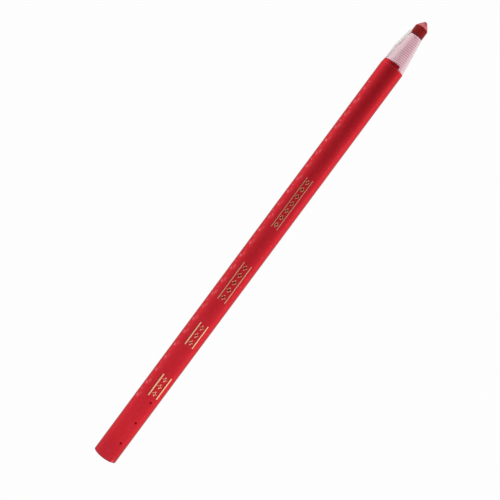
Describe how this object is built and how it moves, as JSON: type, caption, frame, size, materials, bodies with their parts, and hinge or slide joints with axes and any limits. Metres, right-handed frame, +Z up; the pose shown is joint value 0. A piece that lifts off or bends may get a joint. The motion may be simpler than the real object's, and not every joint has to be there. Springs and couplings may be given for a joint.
{
  "type": "china marker",
  "caption": "Peel-off china marker: a wax core in wound paper under red film, with a pull string that tears the film so that sections come off in front to bare more wax.",
  "frame": {"origin": "on the surface that the marker lies on, under the middle of its length", "axes": "+X along the marker to its writing tip, +Y to the side where the string runs, +Z up"},
  "size_m": [0.171, 0.0081, 0.0081],
  "materials": {
    "wax": "dull wax",
    "paper": "uncoated",
    "film": "satin",
    "string": "twisted cotton"
  },
  "bodies": {
    "barrel": {"wax_core": "wax", "paper_section_02": "paper", "paper_section_03": "paper", "paper_section_04": "paper", "paper_section_05": "paper", "paper_section_06": "paper", "paper_section_07": "paper", "paper_section_08": "paper", "paper_section_09": "paper", "paper_section_10": "paper", "paper_section_11": "paper", "paper_section_12": "paper", "paper_section_13": "paper", "paper_section_14": "paper", "paper_section_15": "paper", "paper_section_16": "paper", "paper_section_17": "paper", "paper_section_18": "paper", "paper_section_19": "paper", "paper_section_20": "paper", "paper_section_21": "paper", "paper_section_22": "paper", "paper_section_23": "paper", "paper_section_24": "paper", "paper_section_25": "paper", "paper_stub": "paper", "film_wrapper": "film", "string_run": "string"},
    "front_section": {"paper_section_01": "paper", "film_collar": "film", "string_lead": "string"},
    "free_tail": {"string_tail": "string"}
  },
  "joints": [
    {"name": "front_section_peel", "type": "slide", "parent": "barrel", "child": "front_section", "axis": [1, 0, 0], "range_m": [0, 0.028]},
    {"name": "string_tail_lift", "type": "hinge", "parent": "front_section", "child": "free_tail", "pos_m": [0.07137, 0.00344, 0.00402], "axis": [0, 0, 1], "range_deg": [0, 110]}
  ]
}
